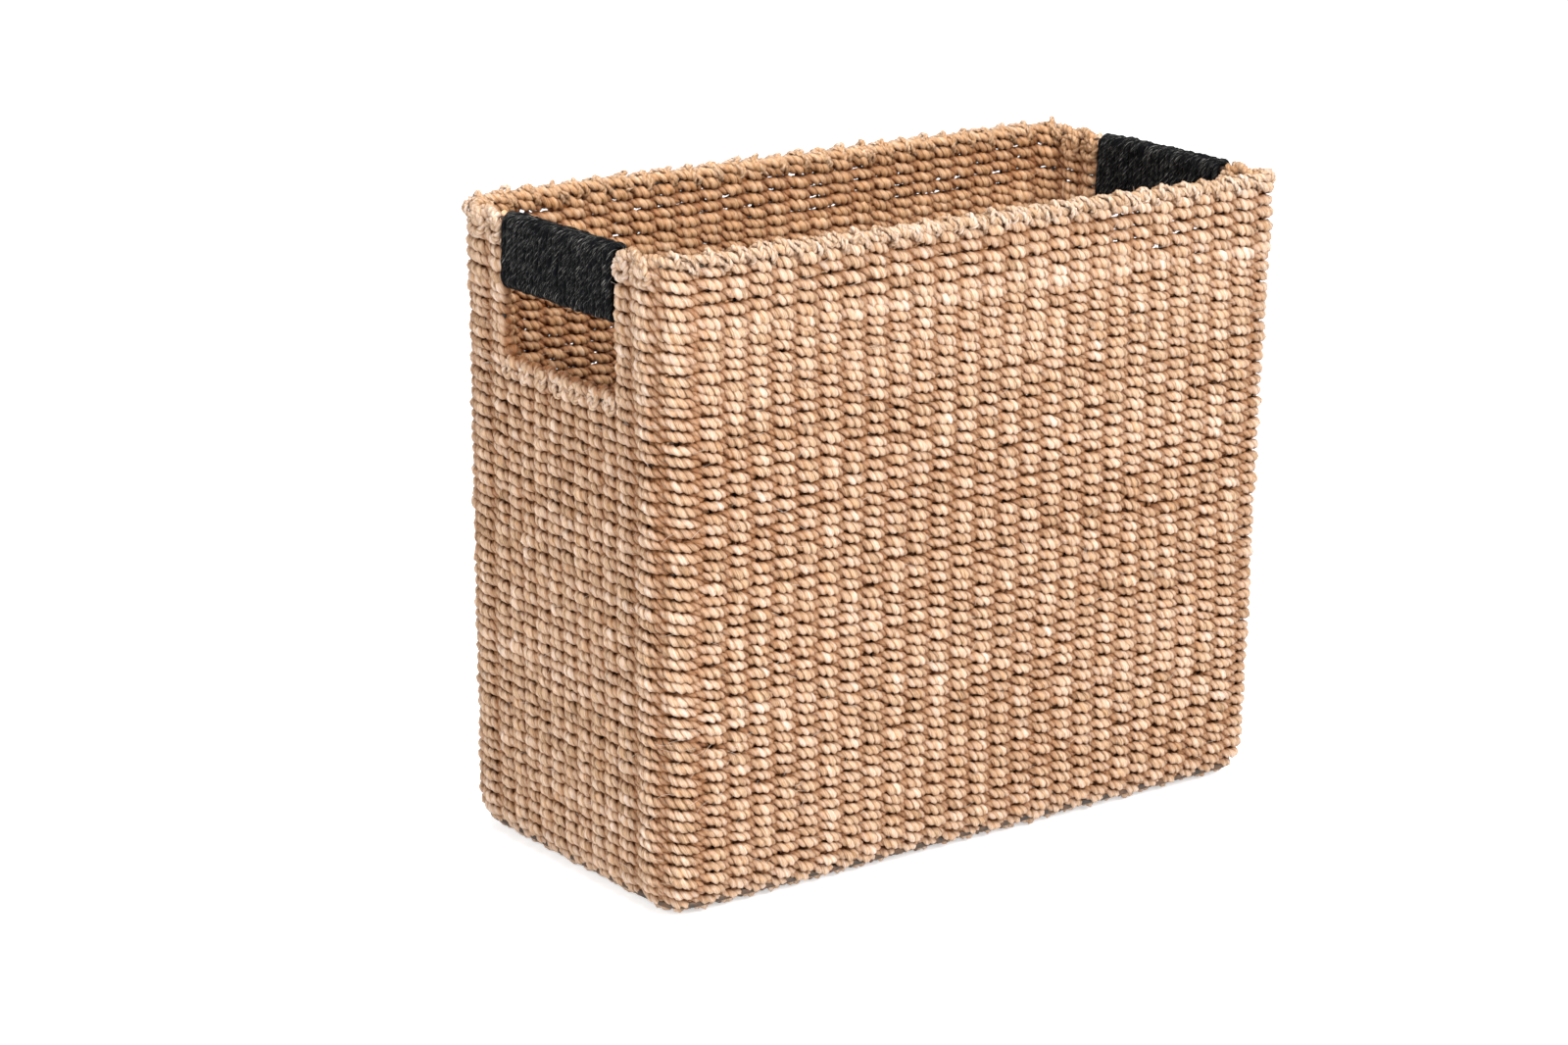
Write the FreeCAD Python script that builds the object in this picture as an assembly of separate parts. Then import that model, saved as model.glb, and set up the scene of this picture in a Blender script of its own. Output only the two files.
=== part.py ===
import FreeCAD, Part
import math
import os

# A rectangular seagrass storage basket, in mm. The origin is the centre of its foot,
# X runs along its length, Y across its depth and Z up. A wire frame stiffens it, seagrass
# stakes stand between the wires, and twined cord makes the walls and the floor. Each end
# has a hand hole under a band that is wound with black cord.

os.makedirs("parts", exist_ok=True)

# Outside of the basket
length = 396.0
depth = 186.0
height = 330.0
end_lean = 4.0
corner_radius = 21.0
foot_radius = 20.0
wall = 10.0
floor = 10.0

# Wire frame
hoop_diameter = 3.6
upright_diameter = 3.0
leg_bend = 6.0

# Seagrass stakes
stake_diameter = 4.0
stake_pitch = 13.8
corner_stake_angles = (20.0, 70.0)

# Hand holes and the wound bands above them
hand_width = 98.0
band_height = 38.0
hand_height = 35.5
band_thickness = 11.0
wrap_cord = 2.9
core_thickness = 5.0

# Folded stake ends that bind the rim and the sills
binding_height = 9.0
binding_thickness = 1.5

# Clearances
weave_grip = 0.1
wire_gap = 0.3
core_gap = 0.3
core_side_gap = 0.1
band_gap = 0.2
weld_gap = 0.05
hoop_side_cover = 0.2
hoop_top_cover = 0.8
sill_wire_cover = 1.0
leg_cover = 1.7

# Derived places
half_depth = depth / 2
base_length = length - 2 * end_lean
lean_start = foot_radius + 2.0
straight_x = base_length / 2 - corner_radius
straight_y = half_depth - corner_radius
mid_wall_y = half_depth - wall / 2
hoop_radius = hoop_diameter / 2
upright_radius = upright_diameter / 2
stake_radius = stake_diameter / 2
base_hoop_inset = wall - hoop_radius - hoop_side_cover
base_hoop_z = floor - hoop_radius - hoop_top_cover
half_hand = hand_width / 2
band_bottom = height - band_height
sill_z = band_bottom - hand_height
band_x = length / 2 - band_thickness / 2
hollow_half = core_thickness / 2 + core_side_gap
rim_hoop_z = height - wrap_cord - hollow_half
rail_z = band_bottom + wrap_cord + hollow_half
leg_y = half_hand + upright_radius + leg_cover
sill_wire_z = sill_z - binding_thickness - upright_radius - sill_wire_cover
stake_top = rim_hoop_z - hoop_radius - wire_gap
sill_stake_top = sill_wire_z - upright_radius - wire_gap
beyond = 50.0


def vector(x, y, z):
    return FreeCAD.Vector(x, y, z)


def outside_x(z):
    # Half the basket's length at a height: the ends stand upright at the foot, then lean out.
    share = max(0.0, (z - lean_start) / (height - lean_start))
    return base_length / 2 + (length - base_length) / 2 * share


def mid_wall_x(z):
    return outside_x(z) - wall / 2


def rounded_rectangle(half_x, half_y, radius, z):
    # A closed wire with four straights and four quarter arcs, starting on the front.
    edges = []
    turn = math.sqrt(0.5) * radius
    corners = [(1, -1), (1, 1), (-1, 1), (-1, -1)]
    for index, (side_x, side_y) in enumerate(corners):
        centre_x = side_x * (half_x - radius)
        centre_y = side_y * (half_y - radius)
        across = vector(centre_x, side_y * half_y, z)
        along = vector(side_x * half_x, centre_y, z)
        middle = vector(centre_x + side_x * turn, centre_y + side_y * turn, z)
        first, last = (across, along) if side_x * side_y < 0 else (along, across)
        edges.append(Part.Arc(first, middle, last).toShape())
        next_x, next_y = corners[(index + 1) % 4]
        if next_x == side_x:
            end = vector(next_x * half_x, next_y * (half_y - radius), z)
        else:
            end = vector(next_x * (half_x - radius), next_y * half_y, z)
        edges.append(Part.LineSegment(last, end).toShape())
    return Part.Wire(edges)


def basket_block(inset, bottom, top):
    # The solid inside the basket's outline pulled in by inset, between two heights.
    def outline(z):
        return rounded_rectangle(outside_x(z) - inset, half_depth - inset, corner_radius - inset, z)

    foot = Part.Face(outline(bottom)).extrude(vector(0, 0, lean_start - bottom))
    upper = Part.makeLoft([outline(lean_start), outline(height)], True, True)
    block = foot.fuse(upper)
    if top > height:
        block = block.fuse(Part.Face(outline(height)).extrude(vector(0, 0, top - height)))
    return block


def rounded_foot(block):
    # The foot edge is rounded all the way round, by no more than the corners allow.
    edges = [edge for edge in block.Edges if edge.BoundBox.ZMax < 0.01]
    return block.makeFillet(min(foot_radius, corner_radius - 0.5), edges)


def region(x_low, x_high, y_low, y_high, z_low, z_high):
    size = (x_high - x_low, y_high - y_low, z_high - z_low)
    return Part.makeBox(*size, vector(x_low, y_low, z_low))


def rod(start, end, radius):
    line = end - start
    return Part.makeCylinder(radius, line.Length, start, line)


def swept_round(path, start, direction, radius):
    profile = Part.Wire([Part.Circle(start, direction, radius).toShape()])
    return path.makePipeShell([profile], True, False)


def hoop(half_x, half_y, bend, z, radius):
    # A closed wire ring, built as straights and torus quarters that share their end discs.
    pieces = []
    for side_x in (-1, 1):
        x = side_x * half_x
        pieces.append(rod(vector(x, bend - half_y, z), vector(x, half_y - bend, z), radius))
        y = side_x * half_y
        pieces.append(rod(vector(bend - half_x, y, z), vector(half_x - bend, y, z), radius))
        for side_y in (-1, 1):
            centre = vector(side_x * (half_x - bend), side_y * (half_y - bend), z)
            quarter = Part.makeTorus(bend, radius, centre, vector(0, 0, 1), -180, 180, 90)
            start_angle = {(1, 1): 0, (-1, 1): 90, (-1, -1): 180, (1, -1): 270}[(side_x, side_y)]
            quarter.rotate(centre, vector(0, 0, 1), start_angle)
            pieces.append(quarter)
    return pieces[0].multiFuse(pieces[1:]).removeSplitter()


def hole_wire(side, radius):
    # A wire bent to a U: its legs hang from the rim hoop and it passes under the sill.
    x = side * band_x
    top = rim_hoop_z
    low = sill_wire_z
    turn = math.sqrt(0.5) * leg_bend
    flat = leg_y - leg_bend
    left_middle = vector(x, -flat - turn, low + leg_bend - turn)
    right_middle = vector(x, flat + turn, low + leg_bend - turn)
    left_arc = (vector(x, -leg_y, low + leg_bend), left_middle, vector(x, -flat, low))
    right_arc = (vector(x, flat, low), right_middle, vector(x, leg_y, low + leg_bend))
    path = Part.Wire([
        Part.LineSegment(vector(x, -leg_y, top), left_arc[0]).toShape(),
        Part.Arc(*left_arc).toShape(),
        Part.LineSegment(left_arc[2], right_arc[0]).toShape(),
        Part.Arc(*right_arc).toShape(),
        Part.LineSegment(right_arc[2], vector(x, leg_y, top)).toShape(),
    ])
    return swept_round(path, vector(x, -leg_y, top), vector(0, 0, -1), radius)


def corner_point(side_x, side_y, angle, radius, z, arc_x, arc_y):
    # A point on the plan arc of one corner, measured from the X axis.
    turn = math.radians(angle)
    return vector(side_x * (arc_x + radius * math.cos(turn)), side_y * (arc_y + radius * math.sin(turn)), z)


def post(side_x, side_y, radius, gap):
    # A corner upright, from the base hoop to the rim hoop, standing at half the corner's turn.
    # The gap is left between its ends and the middles of the hoops.
    low_arc = corner_radius - base_hoop_inset
    high_arc = corner_radius - wall / 2
    high_x = band_x - high_arc
    low_z = base_hoop_z + gap
    high_z = rim_hoop_z - gap
    low = corner_point(side_x, side_y, 45, low_arc, low_z, straight_x, straight_y)
    high = corner_point(side_x, side_y, 45, high_arc, high_z, high_x, mid_wall_y - high_arc)
    return rod(low, high, radius)


def spaced(half_span, pitch):
    # Evenly spaced places, the same on both sides of the middle, as many as the span takes.
    count = int(2 * half_span / pitch)
    return [(index - (count - 1) / 2) * 2 * half_span / count for index in range(count)]


def long_wall_stakes(side_y, radius):
    y = side_y * mid_wall_y
    return [rod(vector(x, y, floor), vector(x, y, stake_top), radius) for x in spaced(straight_x, stake_pitch)]


def end_wall_stakes(side_x, radius):
    rods = []
    jamb_middle = (leg_y + upright_radius + straight_y) / 2
    for y in spaced(half_hand, stake_pitch):
        low = vector(side_x * mid_wall_x(floor), y, floor)
        rods.append(rod(low, vector(side_x * mid_wall_x(sill_stake_top), y, sill_stake_top), radius))
    for y in (-jamb_middle, jamb_middle):
        low = vector(side_x * mid_wall_x(floor), y, floor)
        rods.append(rod(low, vector(side_x * mid_wall_x(stake_top), y, stake_top), radius))
    return rods


def corner_stakes(radius):
    rods = []
    arc = corner_radius - wall / 2
    for side_x in (-1, 1):
        for side_y in (-1, 1):
            for angle in corner_stake_angles:
                low_x = mid_wall_x(floor) - arc
                high_x = mid_wall_x(stake_top) - arc
                low = corner_point(side_x, side_y, angle, arc, floor, low_x, straight_y)
                high = corner_point(side_x, side_y, angle, arc, stake_top, high_x, straight_y)
                rods.append(rod(low, high, radius))
    return rods


def base_stakes(radius):
    reach = half_depth - base_hoop_inset - hoop_radius - wire_gap
    z = min(floor / 2, base_hoop_z)
    return [rod(vector(x, -reach, z), vector(x, reach, z), radius) for x in spaced(straight_x, stake_pitch)]


def frame_wires(grip, post_gap):
    # Every wire of the frame by its node's name, thickened by the grip and not yet trimmed
    # where they are welded.
    thick = hoop_radius + grip
    thin = upright_radius + grip
    high_arc = corner_radius - wall / 2
    low_arc = corner_radius - base_hoop_inset
    base_x = base_length / 2 - base_hoop_inset
    base_y = half_depth - base_hoop_inset
    wires = {
        "rim_hoop": hoop(band_x, mid_wall_y, high_arc, rim_hoop_z, thick),
        "base_hoop": hoop(base_x, base_y, low_arc, base_hoop_z, thick),
    }
    for name_y, side_y in (("front", -1), ("back", 1)):
        for name_x, side_x in (("left", -1), ("right", 1)):
            wires[f"{name_y}_{name_x}_post"] = post(side_x, side_y, thin, post_gap)
    for name, side in (("left", -1), ("right", 1)):
        wires[f"{name}_hole_wire"] = hole_wire(side, thin)
        rail_end = vector(side * band_x, leg_y, rail_z)
        wires[f"{name}_handle_rail"] = rod(vector(side * band_x, -leg_y, rail_z), rail_end, thin)
    return wires


def stake_groups(radius):
    return {
        "front_stakes": long_wall_stakes(-1, radius),
        "back_stakes": long_wall_stakes(1, radius),
        "left_end_stakes": end_wall_stakes(-1, radius),
        "right_end_stakes": end_wall_stakes(1, radius),
        "corner_stakes": corner_stakes(radius),
        "base_stakes": base_stakes(radius),
    }


def trimmed_frame():
    # Wires butt where they are welded: the legs stop at the rim hoop and the rails at the legs.
    wires = frame_wires(0.0, hoop_radius + weld_gap)
    for side in ("left", "right"):
        wires[f"{side}_hole_wire"] = wires[f"{side}_hole_wire"].cut(wires["rim_hoop"])
        wires[f"{side}_handle_rail"] = wires[f"{side}_handle_rail"].cut(wires[f"{side}_hole_wire"])
    return wires


def binding(z_top, x_low, x_high, y_low, y_high, outside, inside):
    # A thin folded skin over the top edge of the wall, inside the given plan limits.
    z_low = z_top - binding_height
    edge = region(x_low, x_high, y_low, y_high, z_low, z_top)
    full = outside.cut(inside).common(edge)
    buried = region(x_low, x_high, y_low, y_high, z_low - 1, z_top - binding_thickness)
    heart = basket_block(binding_thickness, floor, height + 1)
    heart = heart.cut(basket_block(wall - binding_thickness, floor, height + 1))
    return full.cut(heart.common(buried))


def bindings(outside, inside):
    far = length / 2 + beyond
    rims = {}
    for name, low, high in (("front", -far, -half_hand), ("back", half_hand, far)):
        rims[f"{name}_rim_binding"] = binding(height, -far, far, low, high, outside, inside)
    for name, side in (("left", -1), ("right", 1)):
        x_low, x_high = sorted((side * straight_x, side * far))
        sill = binding(sill_z, x_low, x_high, -half_hand, half_hand, outside, inside)
        rims[f"{name}_sill_binding"] = sill
    return rims


def weave_regions():
    # Where each woven panel lies. Panels meet face to face and together make the whole weave.
    far = length / 2 + beyond
    top = height + 1
    regions = {
        "base_weave": region(-far, far, -far, far, -1, floor),
        "front_weave": region(-straight_x, straight_x, -far, -straight_y, floor, top),
        "back_weave": region(-straight_x, straight_x, straight_y, far, floor, top),
    }
    for name_x, side_x in (("left", -1), ("right", 1)):
        x_low, x_high = sorted((side_x * straight_x, side_x * far))
        lower = region(x_low, x_high, -straight_y, straight_y, floor, sill_z)
        regions[f"{name_x}_end_weave"] = lower
        for name_y, side_y in (("front", -1), ("back", 1)):
            y_low, y_high = sorted((side_y * half_hand, side_y * straight_y))
            jamb = region(x_low, x_high, y_low, y_high, sill_z, top)
            regions[f"{name_x}_{name_y}_jamb_weave"] = jamb
            y_low, y_high = sorted((side_y * straight_y, side_y * far))
            corner = region(x_low, x_high, y_low, y_high, floor, top)
            regions[f"{name_y}_{name_x}_corner_weave"] = corner
    return regions


def rounded_bar(thickness, tall, radius, side, z_low, y_half):
    # A bar along Y with a rounded upright section, centred on the handle band.
    x = side * band_x
    bar = region(x - thickness / 2, x + thickness / 2, -y_half, y_half, z_low, z_low + tall)
    edges = [edge for edge in bar.Edges if edge.BoundBox.YLength > y_half]
    return bar.makeFillet(radius, edges)


def handle_wrap(side):
    # The winding of black cord, as one hollow sleeve round the band's core and wires.
    reach = half_hand - band_gap
    outer = rounded_bar(band_thickness, band_height, band_thickness / 2 - 0.2, side, band_bottom, reach)
    hollow_tall = band_height - 2 * wrap_cord
    hollow_low = band_bottom + wrap_cord
    hollow = rounded_bar(2 * hollow_half, hollow_tall, hollow_half - 0.1, side, hollow_low, half_hand)
    return outer.cut(hollow)


def handle_core(side):
    # Seagrass padding between the rim hoop and the handle rail.
    low = rail_z + upright_radius + core_gap
    high = rim_hoop_z - hoop_radius - core_gap
    x = side * band_x
    reach = half_hand - band_gap
    return region(x - core_thickness / 2, x + core_thickness / 2, -reach, reach, low, high)


def near(shape, other):
    return shape.BoundBox.intersect(other.BoundBox)


def save(name, solids):
    shape = Part.makeCompound(solids) if len(solids) > 1 else solids[0]
    shape.exportStep(f"parts/{name}.step")
    print(name, len(solids), round(shape.Volume), "valid" if shape.isValid() else "NOT VALID")


outside = rounded_foot(basket_block(0.0, 0.0, height))
inside = basket_block(wall, floor, height + 1)
rims = bindings(outside, inside)

for name, shape in trimmed_frame().items():
    save(name, shape.Solids)

for name, rods in stake_groups(stake_radius).items():
    save(name, rods)

for name, shape in rims.items():
    save(name, shape.Solids)

# Every panel is hollowed for the wires, stakes and bindings that it holds.
held = list(frame_wires(weave_grip, 0.0).values())
for rods in stake_groups(stake_radius + weave_grip).values():
    held.extend(rods)
held.extend(rims.values())

weave = outside.cut(inside)
for name, space in weave_regions().items():
    panel = weave.common(space)
    tools = [shape for shape in held if near(panel, shape)]
    save(name, panel.cut(tools).Solids)

for name, side in (("left", -1), ("right", 1)):
    save(f"{name}_handle_core", [handle_core(side)])
    save(f"{name}_handle_wrap", handle_wrap(side).Solids)
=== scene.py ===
import math

import bpy
import numpy as np
from mathutils import Matrix, Vector


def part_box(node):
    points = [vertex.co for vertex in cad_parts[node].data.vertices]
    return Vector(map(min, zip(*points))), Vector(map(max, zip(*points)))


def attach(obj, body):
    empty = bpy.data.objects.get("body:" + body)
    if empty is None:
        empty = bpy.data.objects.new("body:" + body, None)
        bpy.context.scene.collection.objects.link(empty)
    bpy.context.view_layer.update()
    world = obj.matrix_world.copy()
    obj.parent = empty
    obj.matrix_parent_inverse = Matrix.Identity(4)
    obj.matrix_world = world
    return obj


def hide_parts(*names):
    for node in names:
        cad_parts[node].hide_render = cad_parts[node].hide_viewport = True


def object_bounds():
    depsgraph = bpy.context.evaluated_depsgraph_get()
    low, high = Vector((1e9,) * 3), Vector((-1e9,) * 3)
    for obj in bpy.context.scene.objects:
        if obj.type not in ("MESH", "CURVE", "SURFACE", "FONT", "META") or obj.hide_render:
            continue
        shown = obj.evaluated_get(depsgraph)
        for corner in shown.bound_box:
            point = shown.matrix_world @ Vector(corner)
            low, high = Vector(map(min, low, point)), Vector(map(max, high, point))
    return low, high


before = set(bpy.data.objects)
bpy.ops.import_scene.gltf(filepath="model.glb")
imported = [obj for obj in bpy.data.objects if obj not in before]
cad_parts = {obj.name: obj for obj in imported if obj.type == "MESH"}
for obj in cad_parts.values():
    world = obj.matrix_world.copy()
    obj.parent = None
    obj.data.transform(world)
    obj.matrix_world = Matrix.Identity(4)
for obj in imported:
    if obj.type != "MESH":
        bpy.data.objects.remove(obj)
cadLow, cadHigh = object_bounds()
bpy.ops.object.select_all(action="DESELECT")
mm = 0.001
anyPhase = (0, 6)

# The basket's shape. What the frame gives is worked out below it.
basket = {
    "wall": 10 * mm,
    "cornerRadius": 21 * mm,
    "footRadius": 20 * mm,
    "endLean": 4 * mm,  # how much farther out an end wall is at the rim
    "leanStart": 22 * mm,  # the height where that lean starts
    "stakePitch": 13.8 * mm,
    "longStakes": 25,
    "endStakes": 10,
    "bendStakes": 2,
    "legY": 53 * mm,  # the upright wire that edges each hand hole
    "topCourse": 8.5 * mm,  # below the rim
}

rimHeight = cadHigh.z
straightX = cadHigh.x - basket["endLean"] - basket["cornerRadius"]
straightY = cadHigh.y - basket["cornerRadius"]
midRadius = basket["cornerRadius"] - basket["wall"] / 2
footMid = basket["footRadius"] - basket["wall"] / 2
bendLength = midRadius * math.pi / 2
perimeter = 4 * (straightX + straightY + bendLength)
topZ = rimHeight - basket["topCourse"]
straightDown = topZ - basket["footRadius"]
profileLength = straightDown + footMid * math.pi / 2
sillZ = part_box("left_sill_binding")[1].z
bandLow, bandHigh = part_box("left_handle_wrap")
floorReachY = cadHigh.y - basket["footRadius"]


def columnSpots():
    # Where the upright stakes stand, as lengths along the wall's middle line. The line starts
    # at the left end of the front wall and runs round to the right.
    spots = []
    start = 0
    longSide = (straightX, basket["longStakes"])
    endSide = (straightY, basket["endStakes"])
    for halfRun, count in (longSide, endSide) * 2:
        if count == basket["longStakes"]:
            edge = halfRun - (count - 1) * basket["stakePitch"] / 2
        else:
            edge = halfRun - basket["legY"]
        spots.append(np.linspace(start + edge, start + 2 * halfRun - edge, count))
        start += 2 * halfRun + bendLength
    full = []
    for side, wallSpots in enumerate(spots):
        after = spots[(side + 1) % 4][0] + (perimeter if side == 3 else 0)
        gaps = basket["bendStakes"] + 1
        full.extend(wallSpots)
        full.extend(np.linspace(wallSpots[-1], after, gaps + 1)[1:-1])
    return np.array(full + [full[0] + perimeter])


stakeSpots = columnSpots()
stakeCount = len(stakeSpots) - 1

# The first and last stake of each end wall. Those two edge the hand hole.
sideStart = {"right": basket["longStakes"] + basket["bendStakes"]}
backStart = sideStart["right"] + basket["endStakes"] + basket["bendStakes"]
sideStart["left"] = backStart + basket["longStakes"] + basket["bendStakes"]
sideEnd = {end: start + basket["endStakes"] - 1 for end, start in sideStart.items()}


def outline(along):
    # The nearest point of the inner rectangle, and the way the wall faces there.
    along = along % perimeter
    corners = [(-straightX, -straightY), (straightX, -straightY),
               (straightX, straightY), (-straightX, straightY)]
    near = np.zeros(along.shape + (2,))
    facing = np.zeros_like(near)
    start = 0
    for side in range(4):
        turn = side * math.pi / 2
        forward = np.array([math.cos(turn), math.sin(turn)])
        run = 2 * (straightX if side % 2 == 0 else straightY)
        here = along >= start
        near[here] = corners[side] + np.multiply.outer(along[here] - start, forward)
        facing[here] = (forward[1], -forward[0])
        start += run
        here = along >= start
        angle = turn - math.pi / 2 + (along[here] - start) / midRadius
        near[here] = corners[(side + 1) % 4]
        facing[here] = np.stack([np.cos(angle), np.sin(angle)], -1)
        start += bendLength
    return near, facing


def leanAt(z):
    # How far an end wall has moved outwards at a height.
    share = (z - basket["leanStart"]) / (rimHeight - basket["leanStart"])
    return basket["endLean"] * np.clip(share, 0, 1)


def wallPoint(column, down, out=0.0, up=0.0):
    # A point of the wall: the column counts stakes, down follows the wall's middle line from
    # the top course to the floor, and out and up leave that line.
    spots = np.interp(column % stakeCount, np.arange(stakeCount + 1), stakeSpots)
    near, facing = outline(spots)
    bend = np.clip((down - straightDown) / footMid, 0, math.pi / 2)
    low = basket["footRadius"] - footMid * np.sin(bend)
    z = np.where(down < straightDown, topZ - down, low)
    inset = basket["footRadius"] - footMid * np.cos(bend)
    reach = basket["cornerRadius"] - inset + out * np.cos(bend) + up * np.sin(bend)
    x = near[..., 0] * (1 + leanAt(z) / straightX) + facing[..., 0] * reach
    y = near[..., 1] + facing[..., 1] * reach
    height = z - out * np.sin(bend) + up * np.cos(bend)
    return np.stack(np.broadcast_arrays(x, y, height), -1)


def wallUp(column, down):
    # The way up the wall at a point.
    step = 0.01 * mm
    return (wallPoint(column, down, up=step) - wallPoint(column, down)) / step


# Two-ply twisted cord. A full section has points at the angles below, at those shares of the
# radius. A simple one has evenly spaced points.
cordShape = {
    "angles": (0, 40, 90, 140, 180, 220, 270, 320),
    "reach": (1, 0.95, 0.68, 0.95, 1, 0.95, 0.68, 0.95),
    "simpleGroove": 0.2,
    "plySharpness": 2.2,  # how quickly one ply's tone gives way to the other's
    "leafLength": 34 * mm,
    "leafSpread": 0.095,
    "cordSpread": 0.045,
    "lumps": 0.06,
    "lumpLimit": 2,
    "guideStart": (0.31, 0.17, 0.93),
    "grainShift": 50,  # so that no two cords have the same grain
}


def unit(vectors):
    return vectors / np.linalg.norm(vectors, axis=-1, keepdims=True)


def carriedGuide(paths, tangents):
    # A direction across each cord, carried along it without turning.
    start = tangents[:, 0]
    first = np.broadcast_to(np.array(cordShape["guideStart"]), start.shape)
    guide = np.empty_like(tangents)
    guide[:, 0] = unit(first - (first * start).sum(-1, keepdims=True) * start)
    for step in range(1, paths.shape[1]):
        ahead = tangents[:, step]
        last = guide[:, step - 1]
        guide[:, step] = unit(last - (last * ahead).sum(-1, keepdims=True) * ahead)
    return guide


def leafTone(chance, lengths, leafLength):
    # How pale the grass is along one ply: each leaf has its own tone and fades into the next.
    total = lengths[-1]
    knots = max(3, int(total / leafLength))
    spots = np.sort(chance.uniform(0, total, knots))
    return np.interp(lengths, spots, chance.normal(0, 1, knots))


def cordShells(paths, radius, lay, chance, closed=False, guide=None, sides=None, toneShift=0.0):
    # Two-ply twisted cords as closed tubes. paths is cords by points by 3. With sides, each
    # section is a simple one.
    if sides is None:
        angles = np.radians(cordShape["angles"])
        reach = np.array(cordShape["reach"])
    else:
        angles = np.radians(np.arange(sides) * 360 / sides)
        reach = 1 - cordShape["simpleGroove"] * np.sin(angles) ** 2
    cords, points = paths.shape[:2]
    count = len(angles)
    if closed:
        steps = np.roll(paths, -1, 1) - paths
        tangents = unit(np.roll(paths, -1, 1) - np.roll(paths, 1, 1))
    else:
        steps = np.diff(paths, axis=1)
        tangents = unit(np.gradient(paths, axis=1))
    stepLengths = np.linalg.norm(steps, axis=-1)
    lengths = np.concatenate([np.zeros((cords, 1)), np.cumsum(stepLengths, 1)], 1)
    across = carriedGuide(paths, tangents) if guide is None else guide
    across = unit(across - (across * tangents).sum(-1, keepdims=True) * tangents)
    side = np.cross(tangents, across)
    turns = lengths[:, -1:] / lay
    if closed:
        turns = np.maximum(1, np.round(turns))
    twist = 2 * math.pi * turns * lengths[:, :points] / lengths[:, -1:]
    theta = twist[..., None] + angles + chance.uniform(0, 2 * math.pi, (cords, 1, 1))
    rough = chance.normal(0, 1, (cords, points, count))
    lumps = 1 + cordShape["lumps"] * np.clip(rough, -cordShape["lumpLimit"], cordShape["lumpLimit"])
    swell = (np.broadcast_to(radius, (cords, points))[..., None] * reach * lumps)[..., None]
    around = np.cos(theta)[..., None] * across[..., None, :]
    around = around + np.sin(theta)[..., None] * side[..., None, :]
    verts = (paths[..., None, :] + swell * around).reshape(-1, 3)

    tone = np.empty((cords, points, count), np.float32)
    for cord in range(cords):
        plain = chance.normal(toneShift, cordShape["cordSpread"])
        along = lengths[cord, :points]
        plies = [leafTone(chance, along, cordShape["leafLength"]) for ply in range(2)]
        share = 0.5 + 0.5 * np.clip(cordShape["plySharpness"] * np.cos(angles), -1, 1)
        mixed = plies[0][:, None] * share + plies[1][:, None] * (1 - share)
        tone[cord] = plain + cordShape["leafSpread"] * mixed

    base = np.arange(cords * points * count).reshape(cords, points, count)
    near = base if closed else base[:, :-1]
    far = np.roll(base, -1, 1) if closed else base[:, 1:]
    a, b = near, np.roll(near, -1, 2)
    c, d = np.roll(far, -1, 2), far
    faces = np.concatenate([
        np.stack([a, b, d], -1).reshape(-1, 3), np.stack([b, c, d], -1).reshape(-1, 3)])
    spans = near.shape[1]
    uNear = np.broadcast_to(lengths[:, :spans, None], a.shape) / lay
    uFar = np.broadcast_to(lengths[:, 1:spans + 1, None], a.shape) / lay
    vNear = np.broadcast_to(np.arange(count) / count, a.shape)
    vFar = vNear + 1 / count
    corner = {"a": (uNear, vNear), "b": (uNear, vFar), "c": (uFar, vFar), "d": (uFar, vNear)}
    uvs = np.concatenate([
        np.stack([np.stack(corner[key], -1) for key in order], -2).reshape(-1, 3, 2)
        for order in ("abd", "bcd")])
    offset = chance.uniform(0, cordShape["grainShift"], cords).repeat(spans * count)
    uvs[:, :, 0] += np.concatenate([offset, offset])[:, None]
    if not closed:
        verts, faces, uvs, tone = cappedEnds(verts, faces, uvs, tone, paths, base)
    return {
        "verts": verts, "faces": faces, "uvs": uvs, "tone": tone.reshape(-1),
        "length": lengths[:, -1].sum()}


def cappedEnds(verts, faces, uvs, tone, paths, base):
    # Closes both ends of each cord with a fan round a middle point.
    caps = []
    middles = []
    tones = []
    nextVert = len(verts)
    for cord in range(base.shape[0]):
        for which, flip in ((0, True), (-1, False)):
            ring = base[cord, which]
            after = np.roll(ring, -1)
            middle = np.full_like(ring, nextVert)
            order = (after, ring, middle) if flip else (ring, after, middle)
            caps.append(np.stack(order, -1))
            middles.append(paths[cord, which])
            tones.append(tone.reshape(-1)[ring[0]])
            nextVert += 1
    caps = np.concatenate(caps)
    verts = np.concatenate([verts, np.array(middles)])
    faces = np.concatenate([faces, caps])
    uvs = np.concatenate([uvs, np.zeros((len(caps), 3, 2))])
    tone = np.concatenate([tone.reshape(-1), np.array(tones, np.float32)])
    return verts, faces, uvs, tone


# How the painted shade fades in on the inside of the basket and in the hollows between the cords.
shading = {
    "insideShadeFade": 3 * mm,
    "creviceShadeEnd": 4.7 * mm,  # farther than this from the wall's middle, no shade is painted between the cords
    "creviceShadeFade": 3.4 * mm,
    "edgeGap": 3 * mm,
    "edgeFade": 4 * mm,
}


def wallDepth(verts):
    # How far a point is outside the middle surface of the walls and floor.
    past = np.stack([
        np.abs(verts[:, 0]) - straightX - leanAt(verts[:, 2]),
        np.abs(verts[:, 1]) - straightY,
        basket["cornerRadius"] - verts[:, 2]], -1)
    return np.linalg.norm(np.maximum(past, 0), axis=1) - midRadius


def insideShadeShare(depth):
    # Painted shade mask: 1 on the inside of the basket, 0 on the outside, smooth between.
    return np.clip(0.5 - depth / shading["insideShadeFade"], 0, 1)


def creviceShadeShare(depth, height, edgeHeight):
    # Painted shade mask: 1 deep between the cords, 0 on the faces of the wall and along its open edge.
    creviceShade = np.clip((shading["creviceShadeEnd"] - np.abs(depth)) / shading["creviceShadeFade"], 0, 1)
    below = (edgeHeight - shading["edgeGap"] - height) / shading["edgeFade"]
    return creviceShade * np.clip(below, 0, 1)


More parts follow.
